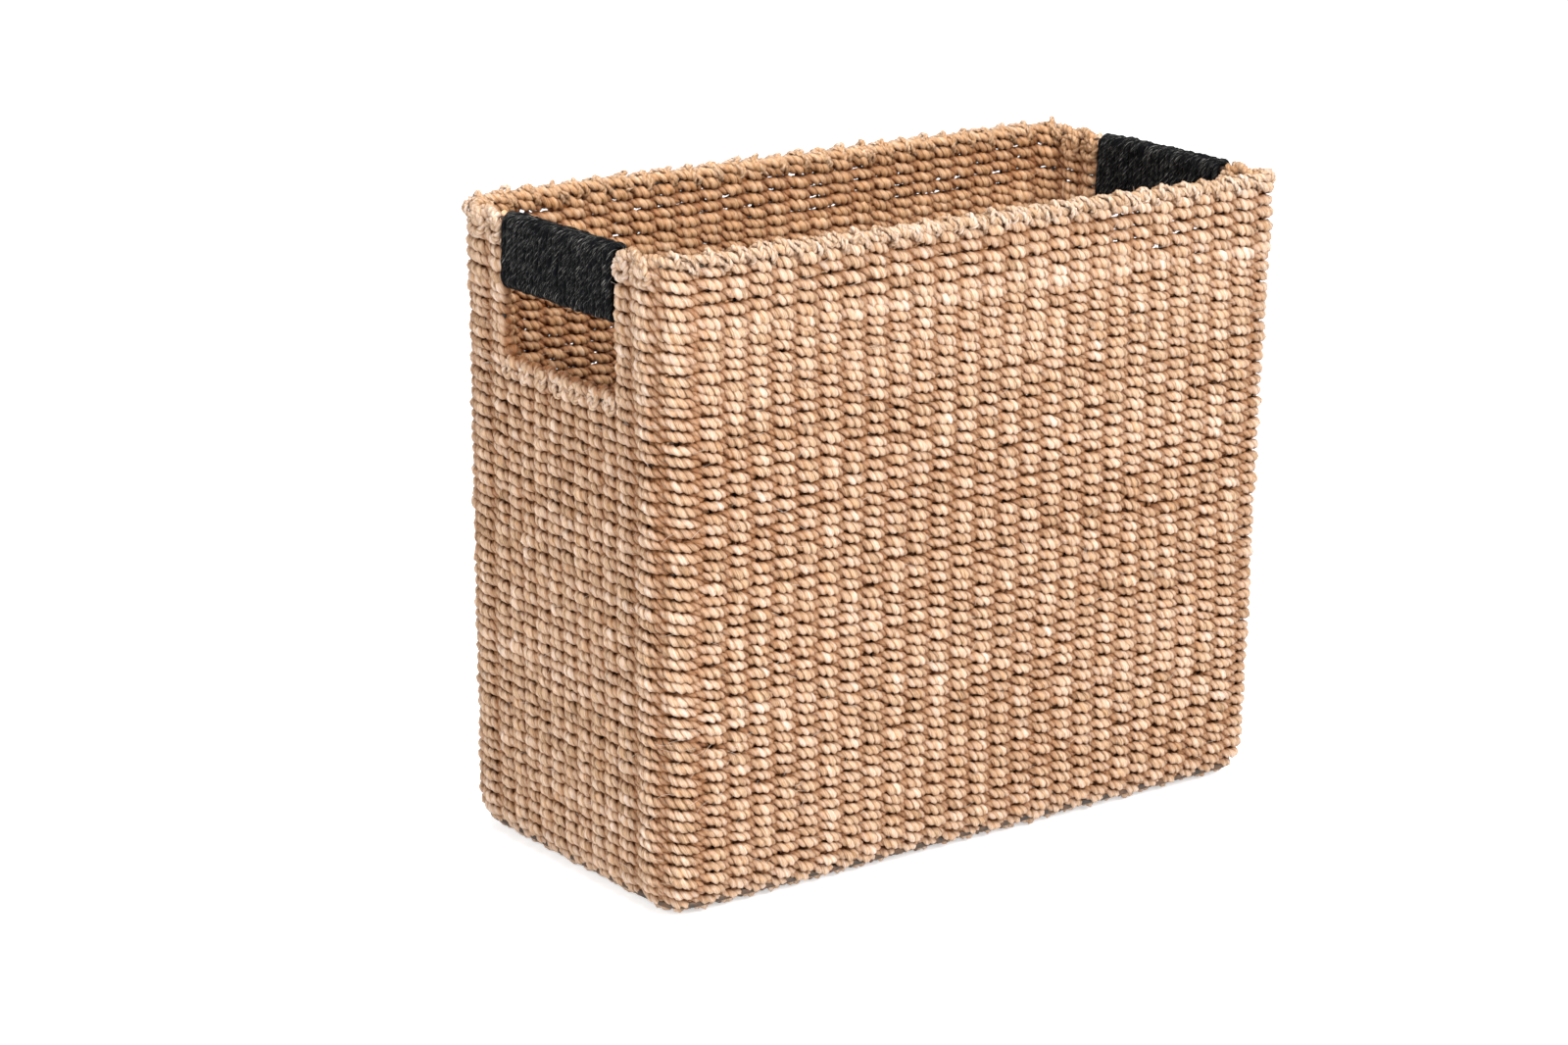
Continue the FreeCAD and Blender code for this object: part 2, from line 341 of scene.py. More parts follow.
def makePiece(name, shells, material, replaced, edgeHeight=rimHeight):
    # One object from all its cords. replaced lists the nodes of the frame that it stands for.
    verts, uvs, tone = (
        np.concatenate([shell[part] for shell in shells]) for part in ("verts", "uvs", "tone"))
    starts = np.cumsum([0] + [len(shell["verts"]) for shell in shells[:-1]])
    faces = np.concatenate([shell["faces"] + start for shell, start in zip(shells, starts)])
    mesh = bpy.data.meshes.new(name)
    mesh.vertices.add(len(verts))
    mesh.vertices.foreach_set("co", verts.astype(np.float32).ravel())
    mesh.loops.add(faces.size)
    mesh.loops.foreach_set("vertex_index", faces.astype(np.int32).ravel())
    mesh.polygons.add(len(faces))
    mesh.polygons.foreach_set("loop_start", np.arange(0, faces.size, 3, dtype=np.int32))
    mesh.update(calc_edges=True)
    mesh.polygons.foreach_set("use_smooth", np.ones(len(faces), bool))
    layer = mesh.uv_layers.new(name="Cord")
    layer.data.foreach_set("uv", uvs.astype(np.float32).ravel())
    # Two painted shade masks: one darkens the inside of the basket, the other the hollows between the
    # cords.
    depth = wallDepth(verts)
    creviceShade = creviceShadeShare(depth, verts[:, 2], edgeHeight)
    shares = {"tone": tone, "inner": insideShadeShare(depth), "creviceShade": creviceShade}
    for label, values in shares.items():
        attribute = mesh.attributes.new(label, "FLOAT", "POINT")
        attribute.data.foreach_set("value", values.astype(np.float32))
    mesh.materials.append(material)
    piece = bpy.data.objects.new(name, mesh)
    bpy.context.collection.objects.link(piece)
    if replaced:
        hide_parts(*replaced)
    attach(piece, "root")
    cordLength = round(sum(shell["length"] for shell in shells), 2)
    print("piece", name, len(faces), "triangles", cordLength, "m of cord")


def feed(tree, node, inputs):
    # Links a socket to each named input, or sets the input where the value is plain.
    for label, value in inputs.items():
        if isinstance(value, bpy.types.NodeSocket):
            tree.links.new(value, node.inputs[label])
        else:
            node.inputs[label].default_value = value


def mathNode(tree, operation, first, second=None, clamp=False):
    node = tree.nodes.new("ShaderNodeMath")
    node.operation = operation
    node.use_clamp = clamp
    feed(tree, node, {0: first} if second is None else {0: first, 1: second})
    return node.outputs[0]


def noiseNode(tree, vector, scale, detail, roughness=0.5):
    node = tree.nodes.new("ShaderNodeTexNoise")
    feed(tree, node, {"Scale": scale, "Detail": detail, "Roughness": roughness, "Vector": vector})
    return node.outputs["Fac"]


grain = {
    "streakDetail": 2.0,
    "fineScale": 2.7,
    "fineDetail": 3.0,
    "fineRoughness": 0.65,
    "leafStretch": (0.35, 0.2, 0.2),
    "leafDetail": 1.0,
}


def makeFibreGroup():
    # Fine fibre along each ply, and how far a spot is from the groove between the plies.
    group = bpy.data.node_groups.new("fibreGrain", "ShaderNodeTree")
    for way, labels in (("INPUT", ("Along", "Across")), ("OUTPUT", ("Streak", "Fine", "Ridge", "Leaf"))):
        for label in labels:
            group.interface.new_socket(name=label, in_out=way, socket_type="NodeSocketFloat")
    given = group.nodes.new("NodeGroupInput")
    result = group.nodes.new("NodeGroupOutput")
    uv = group.nodes.new("ShaderNodeUVMap")
    uv.uv_map = "Cord"
    split = group.nodes.new("ShaderNodeSeparateXYZ")
    feed(group, split, {0: uv.outputs[0]})
    turn = mathNode(group, "MULTIPLY", split.outputs["Y"], 2 * math.pi)
    cosine = mathNode(group, "COSINE", turn)
    sine = mathNode(group, "SINE", turn)
    place = group.nodes.new("ShaderNodeCombineXYZ")
    feed(group, place, {
        "X": mathNode(group, "MULTIPLY", split.outputs["X"], given.outputs["Along"]),
        "Y": mathNode(group, "MULTIPLY", cosine, given.outputs["Across"]),
        "Z": mathNode(group, "MULTIPLY", sine, given.outputs["Across"])})
    spot = place.outputs[0]
    leaf = group.nodes.new("ShaderNodeVectorMath")
    leaf.operation = "MULTIPLY"
    feed(group, leaf, {0: spot, 1: grain["leafStretch"]})
    feed(group, result, {
        "Streak": noiseNode(group, spot, 1.0, grain["streakDetail"]),
        "Fine": noiseNode(
            group, spot, grain["fineScale"], grain["fineDetail"], grain["fineRoughness"]),
        "Ridge": mathNode(group, "ABSOLUTE", cosine),
        "Leaf": noiseNode(group, leaf.outputs[0], 1.0, grain["leafDetail"])})
    return group


fibreGroup = makeFibreGroup()

# The stops run from deep brown to the palest leaf. The tints multiply the colour as painted shade.
seagrassLook = {
    "stops": (
        (0.00, (0.110, 0.058, 0.022)),
        (0.22, (0.300, 0.170, 0.080)),
        (0.46, (0.520, 0.335, 0.200)),
        (0.68, (0.645, 0.460, 0.330)),
        (1.00, (0.760, 0.650, 0.570)),
    ),
    "ember": (0.590, 0.300, 0.115),
    "emberStart": 0.52,
    "emberGain": 3.0,
    "emberShare": 0.5,
    "along": 2.0,
    "across": 3.2,
    "streakGain": 1.2,
    "fineGain": 1.0,
    # painted shade in the grooves between the two plies
    "grooveShadeStart": 0.6,
    "grooveShadeGain": 0.5,
    # Painted shade tints: darker inside the basket, and darker still deep between the cords.
    "insideShadeTint": (0.93, 0.78, 0.60),
    "creviceShadeTint": (0.52, 0.33, 0.18),
    "weftTone": 0.60,
    "borderTone": 0.68,
    # the stakes' own tone, set darker as painted shade for the gaps where they show
    "stakeToneAndShade": 0.36,
    "roughness": 0.50,
    "roughSpread": 0.4,
    "bump": 0.8,
    "bumpDistance": 0.6 * mm,
}


def mixColour(tree, blend, share, first, second):
    # first is a socket and second a plain colour.
    node = tree.nodes.new("ShaderNodeMix")
    node.data_type = "RGBA"
    node.blend_type = blend
    colours = [index for index, socket in enumerate(node.inputs) if socket.type == "RGBA"]
    feed(tree, node, {"Factor": share, colours[0]: first, colours[1]: (*second, 1)})
    return next(socket for socket in node.outputs if socket.type == "RGBA")


def newMaterial(name):
    material = bpy.data.materials.new(name)
    material.use_nodes = True
    tree = material.node_tree
    return material, tree, tree.nodes["Principled BSDF"]


def fibreNode(tree, look):
    fibre = tree.nodes.new("ShaderNodeGroup")
    fibre.node_tree = fibreGroup
    feed(tree, fibre, {"Along": look["along"], "Across": look["across"]})
    return fibre


def shareNode(tree, label):
    # What makePiece stored at each vertex under this label.
    node = tree.nodes.new("ShaderNodeAttribute")
    node.attribute_name = label
    return node.outputs["Fac"]


def scaledFrom(tree, value, start, gain, clamp=False):
    return mathNode(tree, "MULTIPLY", mathNode(tree, "SUBTRACT", value, start), gain, clamp)


def addBump(tree, shader, height, look):
    bump = tree.nodes.new("ShaderNodeBump")
    feed(tree, bump, {"Strength": look["bump"], "Distance": look["bumpDistance"], "Height": height})
    feed(tree, shader, {"Normal": bump.outputs[0]})


def rampNode(tree, value, stops):
    ramp = tree.nodes.new("ShaderNodeValToRGB")
    while len(ramp.color_ramp.elements) < len(stops):
        ramp.color_ramp.elements.new(0.5)
    for element, (spot, colour) in zip(ramp.color_ramp.elements, stops):
        element.position = spot
        element.color = (*colour, 1)
    feed(tree, ramp, {"Fac": value})
    return ramp.outputs["Color"]


def makeSeagrass(name, middleTone):
    material, tree, shader = newMaterial(name)
    look = seagrassLook
    fibre = fibreNode(tree, look)
    value = mathNode(tree, "ADD", shareNode(tree, "tone"), middleTone)
    streak = scaledFrom(tree, fibre.outputs["Streak"], 0.5, look["streakGain"])
    fine = scaledFrom(tree, fibre.outputs["Fine"], 0.5, look["fineGain"])
    value = mathNode(tree, "ADD", value, streak)
    value = mathNode(tree, "ADD", value, fine)
    # Painted shade: the colour darkens towards the grooves between the two plies.
    grooveShade = scaledFrom(tree, fibre.outputs["Ridge"], look["grooveShadeStart"], look["grooveShadeGain"])
    value = mathNode(tree, "ADD", value, mathNode(tree, "MINIMUM", grooveShade, 0.0))
    colour = rampNode(tree, value, look["stops"])
    warm = scaledFrom(tree, fibre.outputs["Leaf"], look["emberStart"], look["emberGain"], True)
    warm = mathNode(tree, "MULTIPLY", warm, look["emberShare"])
    colour = mixColour(tree, "MIX", warm, colour, look["ember"])
    # Painted shade: the inside of the basket turns darker and warmer than the outside.
    colour = mixColour(tree, "MULTIPLY", shareNode(tree, "inner"), colour, look["insideShadeTint"])
    # Painted shade: the colour turns darker and warmer deep between the cords.
    colour = mixColour(tree, "MULTIPLY", shareNode(tree, "creviceShade"), colour, look["creviceShadeTint"])
    rough = mathNode(tree, "MULTIPLY", fibre.outputs["Fine"], look["roughSpread"])
    rough = mathNode(tree, "ADD", rough, look["roughness"] - look["roughSpread"] / 2)
    feed(tree, shader, {"Base Color": colour, "Roughness": rough})
    height = mathNode(tree, "ADD", fibre.outputs["Fine"], fibre.outputs["Streak"])
    height = mathNode(tree, "ADD", height, fibre.outputs["Ridge"])
    addBump(tree, shader, height, look)
    return material


blackLook = {
    "along": 2.4,
    "across": 4.0,
    "stops": ((0.55, (0.0030, 0.0033, 0.0040)), (0.70, (0.300, 0.290, 0.270))),
    "roughness": 0.55,
    "specular": 0.03,
    "bump": 0.5,
    "bumpDistance": 0.5 * mm,
}


def makeBlackCord():
    material, tree, shader = newMaterial("blackCord")
    fibre = fibreNode(tree, blackLook)
    flecks = mathNode(tree, "ADD", fibre.outputs["Fine"], fibre.outputs["Streak"])
    flecks = mathNode(tree, "MULTIPLY", flecks, 0.5)
    feed(tree, shader, {
        "Base Color": rampNode(tree, flecks, blackLook["stops"]),
        "Roughness": blackLook["roughness"], "Specular IOR Level": blackLook["specular"]})
    addBump(tree, shader, fibre.outputs["Fine"], blackLook)
    return material


wireLook = {
    "spotScale": 220,
    "spotDetail": 3,
    "stops": ((0.4, (0.050, 0.045, 0.040)), (0.7, (0.150, 0.085, 0.050))),
    "metallic": 0.6,
    "roughness": 0.3,
    "roughSpread": 0.5,
}


def makeWire():
    material, tree, shader = newMaterial("blackIronWire")
    place = tree.nodes.new("ShaderNodeTexCoord")
    spots = noiseNode(
        tree, place.outputs["Object"], wireLook["spotScale"], wireLook["spotDetail"])
    rough = mathNode(tree, "MULTIPLY", spots, wireLook["roughSpread"])
    feed(tree, shader, {
        "Base Color": rampNode(tree, spots, wireLook["stops"]), "Metallic": wireLook["metallic"],
        "Roughness": mathNode(tree, "ADD", rough, wireLook["roughness"])})
    return material


weftMaterial = makeSeagrass("twinedSeagrass", seagrassLook["weftTone"])
borderMaterial = makeSeagrass("foldedSeagrass", seagrassLook["borderTone"])
# The stakes are darker than the weft: partly their own tone, partly painted shade for the gaps of the
# weave.
stakeMaterial = makeSeagrass("stakeSeagrass", seagrassLook["stakeToneAndShade"])
blackMaterial = makeBlackCord()
wireMaterial = makeWire()

# The twined wall: two strands cross between each pair of stakes.
weft = {
    "cordRadius": 3.0 * mm,
    "squeeze": 0.24,  # how much thinner a strand is where it crosses the other one
    "lay": 8.8 * mm,
    "swell": 2.15 * mm,  # how far a strand stands out as it passes a stake
    "slope": 1.5 * mm,  # how far it drops from one side of a stake to the other
    "level": 0.6,  # under 1, it lies more level over the stake itself
    "swellSpread": 0.15,
    "slopeSpread": 0.25,
    "fatSpread": 0.08,
    "layRange": (0.95, 1.07),
    "fatRange": (0.97, 1.05),
    "stepsPerStake": 11,
    "coarsePitch": 6.3 * mm,
    "coarseCourses": 5,
    "coarseFat": 1.13,
    "cornerRound": 9 * mm,  # of a hand hole's lower corners
    "cornerReach": 0.6,  # in stakes
    "turnSteps": 5,
    "turnBulge": 0.2,  # in stakes
    "finePitch": 5.2 * mm,
    "fineCourses": 8,
    "pitch": 5.85 * mm,
    "heightWander": 1.1 * mm,
    "columnWander": 0.2,
    "outWander": 0.5 * mm,
    "waves": 9,
    "mostAround": 6,  # waves round the basket
    "waveTall": 18,  # radians over waveHeight, at most
    "waveHeight": 0.33,
    "lift": 0.42 * mm,
    "topTone": 0.03,  # the courses beside the wound bands are a little paler
    "coursesPerPiece": 6,
    "seed": 11,
}


def courseDepths():
    # How far each course lies below the top one, along the wall and its foot bend.
    depths = [0.0]
    while depths[-1] < profileLength - weft["pitch"]:
        if len(depths) < weft["coarseCourses"]:
            pitch = weft["coarsePitch"]
        elif len(depths) < weft["coarseCourses"] + weft["fineCourses"]:
            pitch = weft["finePitch"]
        else:
            pitch = weft["pitch"]
        depths.append(depths[-1] + pitch)
    return depths


def smoothWander(chance, waves):
    # A gentle random surface over the wall, the same where the basket's outline closes.
    around = chance.integers(1, weft["mostAround"] + 1, waves)
    tall = chance.uniform(-weft["waveTall"], weft["waveTall"], waves)
    shift = chance.uniform(0, 2 * math.pi, waves)

    def value(column, down):
        total = 0
        for wave in range(waves):
            turn = 2 * math.pi * around[wave] * column / stakeCount
            total = total + np.sin(turn + tall[wave] * down / weft["waveHeight"] + shift[wave])
        return total / waves
    return value


def weftStrand(columns, phase, down, chance, wander, crossing=1.0):
    # One strand's path, radius and the way up beside it. The phase grows by pi from one stake
    # to the next: at 0 the strand is outside the stake and at pi inside it.
    jitter = chance.normal(0, 1, (4, stakeCount + 1))
    jitter[:, -1] = jitter[:, 0]
    spots = np.arange(stakeCount + 1)
    place = columns % stakeCount
    swellJitter, slopeJitter, fatJitter, liftJitter = (np.interp(place, spots, row) for row in jitter)
    out = weft["swell"] * np.cos(phase) * (1 + weft["swellSpread"] * swellJitter)
    level = weft["level"] + (1 - weft["level"]) * np.sin(phase) ** 2
    up = -weft["slope"] * np.sin(phase) * level * (1 + weft["slopeSpread"] * slopeJitter)
    up = up + weft["heightWander"] * wander["height"](columns, down) + weft["lift"] * liftJitter
    moved = columns + weft["columnWander"] * wander["column"](columns, down)
    out = out + weft["outWander"] * wander["out"](columns, down)
    squeeze = 1 - weft["squeeze"] * crossing * np.sin(phase) ** 2
    radius = weft["cordRadius"] * squeeze * (1 + weft["fatSpread"] * fatJitter)
    return wallPoint(moved, down, out, up), radius, wallUp(moved, down)


def fullCourse(down, chance, wander):
    # Both strands of a course that runs all round the basket.
    columns = np.arange(0, stakeCount, 1 / weft["stepsPerStake"])
    strands = []
    for strand in (0, 1):
        strands.append(weftStrand(columns, math.pi * (columns + strand), down, chance, wander))
    return strands


def thereAndBack(run, turnSteps, turnBulge):
    # The columns of a cord that goes along a run and back, and each turn's angles.
    turn = np.linspace(0, math.pi, turnSteps + 1)[1:-1]
    bulge = turnBulge * np.sin(turn)
    return turn, np.concatenate([run, run[-1] + bulge, run[::-1], run[0] - bulge])


def halfCourse(first, last, over, down, chance, wander):
    # Both strands of a course between two hand holes, joined by a turn round the wire at each
    # end. The turns lie past the wires by over, in stakes.
    steps = int((last - first) * weft["stepsPerStake"])
    run = np.linspace(first - over, last + over, steps + 1)
    turn, columns = thereAndBack(run, weft["turnSteps"], weft["turnBulge"])
    phase = np.concatenate([
        math.pi * (run - first), math.pi * (run[-1] - first) + turn,
        math.pi * (run[::-1] - first + 1), math.pi * (1 - over) + turn])
    turning = np.zeros(len(turn))
    crossing = np.concatenate([np.ones(len(run)), turning, np.ones(len(run)), turning])
    return weftStrand(columns, phase, down, chance, wander, crossing)


def wallRuns():
    # The stretches between the two hand holes, as first and last column: the front one starts
    # at a column below zero.
    return ((sideEnd["left"] - stakeCount, sideStart["right"]), (sideEnd["right"], sideStart["left"]))


def makeWeft():
    # The courses run from the rim down to the foot, some to each piece.
    chance = np.random.default_rng(weft["seed"])
    wander = {key: smoothWander(chance, weft["waves"]) for key in ("height", "column", "out")}
    depths = courseDepths()
    sillDown = topZ - sillZ
    coarseDown = weft["coarsePitch"] * weft["coarseCourses"]
    ends = ("left", "right")
    sides = ("front", "back")
    upperNodes = [f"{end}_{side}_jamb_weave" for end in ends for side in sides]
    wallNodes = ["front_weave", "back_weave"]
    wallNodes += [f"{side}_{end}_corner_weave" for side in sides for end in ends]
    lowerNodes = ["left_end_weave", "right_end_weave"]
    count = 0
    for start in range(0, len(depths), weft["coursesPerPiece"]):
        shells = []
        group = depths[start:start + weft["coursesPerPiece"]]
        for down in group:
            tone = weft["topTone"] if down < bandHigh.z - bandLow.z else 0.0
            lay = weft["lay"] * chance.uniform(*weft["layRange"])
            fat = chance.uniform(*weft["fatRange"]) * (weft["coarseFat"] if down < coarseDown else 1)
            if down < sillDown:
                near = max(0, 1 - (sillDown - down - weft["pitch"] / 2) / weft["cornerRound"])
                over = weft["cornerReach"] * near ** 2
                for first, last in wallRuns():
                    path, radius, guide = halfCourse(first, last, over, down, chance, wander)
                    shells.append(cordShells(
                        path[None], radius[None] * fat, lay, chance, True, guide[None], toneShift=tone))
            else:
                strands = fullCourse(down, chance, wander)
                path, radius, guide = (np.stack(part) for part in zip(*strands))
                shells.append(cordShells(path, radius * fat, lay, chance, True, guide, toneShift=tone))
        count += 1
        replaced = list(wallNodes)
        if group[0] < sillDown:
            replaced += upperNodes
        if group[-1] >= sillDown:
            replaced += lowerNodes
        makePiece(f"weft_band_{count}", shells, weftMaterial, replaced)


makeWeft()

# The floor is woven the same way, one course beside the other, with a turn at each end.
floorWeave = {
    "cordRadius": 3.0 * mm,
    "lay": 9.5 * mm,
    "pitch": 5.5 * mm,
    "swell": 1.9 * mm,
    "slope": 1.3 * mm,
    "stepsPerStake": 8,
    "turnSteps": 4,
    "turnBulge": 0.15,  # in stakes
    "wobble": 0.5 * mm,
    "wobbleWave": 40,  # radians to the metre
    "z": 5.0 * mm,
    "sides": 6,
    "seed": 23,
}


def makeFloor():
    chance = np.random.default_rng(floorWeave["seed"])
    crossed = basket["longStakes"]
    courses = int(2 * floorReachY / floorWeave["pitch"])
    run = np.linspace(-0.5, crossed - 0.5, crossed * floorWeave["stepsPerStake"] + 1)
    turn, columns = thereAndBack(run, floorWeave["turnSteps"], floorWeave["turnBulge"])
    phase = np.concatenate([
        math.pi * (run + 0.5), math.pi * crossed + turn, math.pi * (run[::-1] + 1.5), math.pi + turn])
    x = (columns - (crossed - 1) / 2) * basket["stakePitch"]
    paths = []
    for course in range(courses):
        y = (course - (courses - 1) / 2) * floorWeave["pitch"]
        wobble = floorWeave["wobble"] * np.sin(x * floorWeave["wobbleWave"] + chance.uniform(*anyPhase))
        paths.append(np.stack([
            x, y + wobble - floorWeave["slope"] * np.sin(phase),
            floorWeave["z"] + floorWeave["swell"] * np.cos(phase)], -1))
    paths = np.array(paths)
    guide = np.zeros_like(paths)
    guide[..., 1] = 1
    shell = cordShells(
        paths, floorWeave["cordRadius"], floorWeave["lay"], chance, True, guide, floorWeave["sides"])
    makePiece("floor_weave", [shell], weftMaterial, ["base_weave"])


makeFloor()

# The stakes stand in the walls and cross the floor. Under a hand hole they end below its sill.
stakes = {
    "radius": 1.9 * mm,
    "lay": 14 * mm,
    "step": 7 * mm,
    "overTop": 3 * mm,
    "underSill": 5 * mm,
    "footGap": 0.5 * mm,
    "sides": 6,
    "seed": 31,
}


def makeStakes():
    chance = np.random.default_rng(stakes["seed"])
    tall = []
    short = []
    for column in range(stakeCount):
        inHole = any(sideStart[end] < column < sideEnd[end] for end in ("left", "right"))
        (short if inHole else tall).append(column)
    shells = []
    for group, top in ((tall, -stakes["overTop"]), (short, topZ - sillZ + stakes["underSill"])):
        steps = int((profileLength - top) / stakes["step"])
        down = np.linspace(top, profileLength - stakes["footGap"], steps)
        columns = np.array(group, float)[:, None] * np.ones_like(down)
        paths = wallPoint(columns, np.broadcast_to(down, columns.shape))
        shells.append(cordShells(
            paths, stakes["radius"], stakes["lay"], chance, sides=stakes["sides"]))
    nodes = ["front_stakes", "back_stakes", "left_end_stakes", "right_end_stakes", "corner_stakes"]
    makePiece("upright_stakes", shells, stakeMaterial, nodes)
    y = np.linspace(-floorReachY, floorReachY, int(2 * floorReachY / stakes["step"]))
    paths = []
    for index in range(basket["longStakes"]):
        x = (index - (basket["longStakes"] - 1) / 2) * basket["stakePitch"]
        paths.append(np.stack([np.full_like(y, x), y, np.full_like(y, floorWeave["z"])], -1))
    shell = cordShells(
        np.array(paths), stakes["radius"], stakes["lay"], chance, sides=stakes["sides"])
    makePiece("floor_stakes", [shell], stakeMaterial, ["base_stakes"])


makeStakes()

# The borders are stake ends folded over the rim or rolled into rings.
border = {
    "radius": 1.45 * mm,
    "lay": 6.5 * mm,
    "points": 16,
    "foldSpread": (0.07, 0.4, 0.3),  # of each point: in stakes, then mm
    "foldShift": (0.06, 0.35),  # of a whole fold: in stakes, then mm
    "ringRadius": 5.0 * mm,
    "ringCord": 2.2 * mm,
    "ringDrop": 10.4 * mm,
    "ringPlaces": (0.08, 1.0),  # in stakes, away from the hand hole
    "ringPoints": 22,
    "ringSpread": (0.94, 1.05),
    "layerSpread": (0.94, 1.04),
    "ringWave": 0.05,
    "ringTwist": 0.3 * mm,
    "ringNarrow": 1.15,
    "ringLayers": (-3.4, 0.0, 3.4),  # mm out from the wall's middle
    "sillRingRadius": 3.8 * mm,
    "sillCord": 1.6 * mm,
    "sillRings": 7,
    "sillInset": 0.7,  # in stakes
    "sillRingDrop": 5.4 * mm,
    "sillPairDrop": 5.6 * mm,
    "sillPairPoints": 60,
    "pairRadius": 2.7 * mm,
    "pairSwell": 2.6,  # in mm, like the next three
    "pairSlope": 1.2,
    "pairDrop": 3.6,
    "pairWander": 0.3,
    "pairWave": 2.3,
    "pairSteps": 8,
    "seed": 41,
}

# How a stake end folds over the rim. Each point is (stakes, mm under the rim, mm outwards).
folds = {
    "over": ((-0.2, 8, -3.2), (-0.18, 4.2, -4.6), (-0.06, 0.9, -2.6), (0.1, 0.0, 0.6),
             (0.28, 2.2, 4.3), (0.46, 5.8, 5.0), (0.55, 8.4, 2.0)),
    "back": ((0.6, 8.2, 2.2), (0.5, 4.6, 5.0), (0.36, 1.2, 3.2), (0.14, 0.1, 0.2),
             (-0.08, 1.7, -3.9), (-0.3, 5.2, -4.9), (-0.42, 8.2, -2.6)),
    "curl": ((0.0, 7, 1.8), (-0.04, 3.4, 4.6), (-0.1, 0.3, 3.3), (-0.16, -1.0, 1.2),
             (-0.1, 0.3, -0.8), (0.0, 2.4, -2.2)),
}
foldSizes = {"over": 1.0, "back": 0.9, "curl": 1.0}


def smoothThrough(knots, count):
    # A smooth line through given points, each a row of values.
    knots = np.asarray(knots, float)
    spots = np.arange(len(knots))
    fine = np.linspace(0, len(knots) - 1, count)
    slopes = np.gradient(knots, axis=0)
    low = np.clip(fine.astype(int), 0, len(knots) - 2)
    t = (fine - spots[low])[:, None]
    fromHere = (2 * t**3 - 3 * t**2 + 1) * knots[low] + (t**3 - 2 * t**2 + t) * slopes[low]
    return fromHere + (-2 * t**3 + 3 * t**2) * knots[low + 1] + (t**3 - t**2) * slopes[low + 1]


def rimColumns():
    # The stakes whose ends fold over the rim: not those under the hand holes, nor the rolled
    # ones beside them.
    columns = []
    for column in range(stakeCount):
        beside = [sideStart[end] - 1.5 < column < sideEnd[end] + 1.5 for end in ("left", "right")]
        if not any(beside):
            columns.append(column)
    return columns


def foldPaths(columns, fold, chance):
    # One folded stake end at each column.
    spread = border["foldSpread"]
    shift = border["foldShift"]
    paths = []
    for column in columns:
        knots = np.array(fold, float)
        knots[:, 0] += chance.normal(0, spread[0], len(knots)) + chance.normal(0, shift[0])
        knots[:, 1] += chance.normal(0, spread[1], len(knots)) + chance.normal(0, shift[1])
        knots[:, 2] += chance.normal(0, spread[2], len(knots))
        line = smoothThrough(knots, border["points"])
        z = rimHeight - line[:, 1] * mm
        paths.append(wallPoint(column + line[:, 0], topZ - z, line[:, 2] * mm))
    return np.array(paths)


def ringPaths(spots, ringRadius, chance):
    # Rolled ends: closed rings side by side through the wall. spots are (column, z).
    paths = []
    angle = np.linspace(0, 2 * math.pi, border["ringPoints"], endpoint=False)
    for column, z in spots:
        ring = ringRadius * chance.uniform(*border["ringSpread"])
        for layer in border["ringLayers"]:
            size = ring * chance.uniform(*border["layerSpread"])
            wave = 1 + border["ringWave"] * np.sin(3 * angle + chance.uniform(*anyPhase))
            along = size * wave * np.cos(angle) / (basket["stakePitch"] * border["ringNarrow"])
            out = layer * mm + border["ringTwist"] * np.sin(2 * angle + chance.uniform(*anyPhase))
            paths.append(wallPoint(column + along, topZ - z - size * wave * np.sin(angle), out))
    return np.array(paths)


def twinedPair(columns, z, chance):
    # Two cords twisted about the stakes, like one more course, at a height of its own.
    paths = []
    for strand in (0, 1):
        phase = math.pi * (columns + strand)
        wander = np.sin(border["pairWave"] * columns + chance.uniform(*anyPhase))
        drop = border["pairSlope"] * np.sin(phase) + border["pairWander"] * wander
        out = border["pairSwell"] * mm * np.cos(phase)
        paths.append(wallPoint(columns, topZ - z + drop * mm, out))
    return np.array(paths)


def makeBorders():
    chance = np.random.default_rng(border["seed"])
    columns = rimColumns()
    shells = []
    for kind, fold in folds.items():
        paths = foldPaths(columns, fold, chance)
        shells.append(cordShells(paths, border["radius"] * foldSizes[kind], border["lay"], chance))
    for first, last in wallRuns():
        run = np.linspace(first, last, int((last - first) * border["pairSteps"]))
        pair = twinedPair(run, rimHeight - border["pairDrop"] * mm, chance)
        shells.append(cordShells(pair, border["pairRadius"], weft["lay"], chance))
    spots = []
    for end in ("left", "right"):
        places = [sideStart[end] - away for away in border["ringPlaces"]]
        places += [sideEnd[end] + away for away in border["ringPlaces"]]
        for column in places:
            spots.append((column, rimHeight - border["ringDrop"]))
    paths = ringPaths(spots, border["ringRadius"], chance)
    shells.append(cordShells(paths, border["ringCord"], border["lay"], chance, True))
    nodes = ["front_rim_binding", "back_rim_binding"]
    makePiece("rim_border", shells, borderMaterial, nodes)
    for end in ("left", "right"):
        first = sideStart[end] + border["sillInset"]
        last = sideEnd[end] - border["sillInset"]
        columns = np.linspace(first, last, border["sillRings"])
        spots = [(column, sillZ - border["sillRingDrop"]) for column in columns]
        rings = ringPaths(spots, border["sillRingRadius"], chance)
        shells = [cordShells(rings, border["sillCord"], border["lay"], chance, True)]
        run = np.linspace(first - 0.5, last + 0.5, border["sillPairPoints"])
        pair = twinedPair(run, sillZ - border["sillPairDrop"], chance)
        shells.append(cordShells(pair, border["sillCord"], border["lay"], chance))
        nodes = [f"{end}_sill_binding"]
        makePiece(f"{end}_sill_border", shells, borderMaterial, nodes, sillZ)


makeBorders()

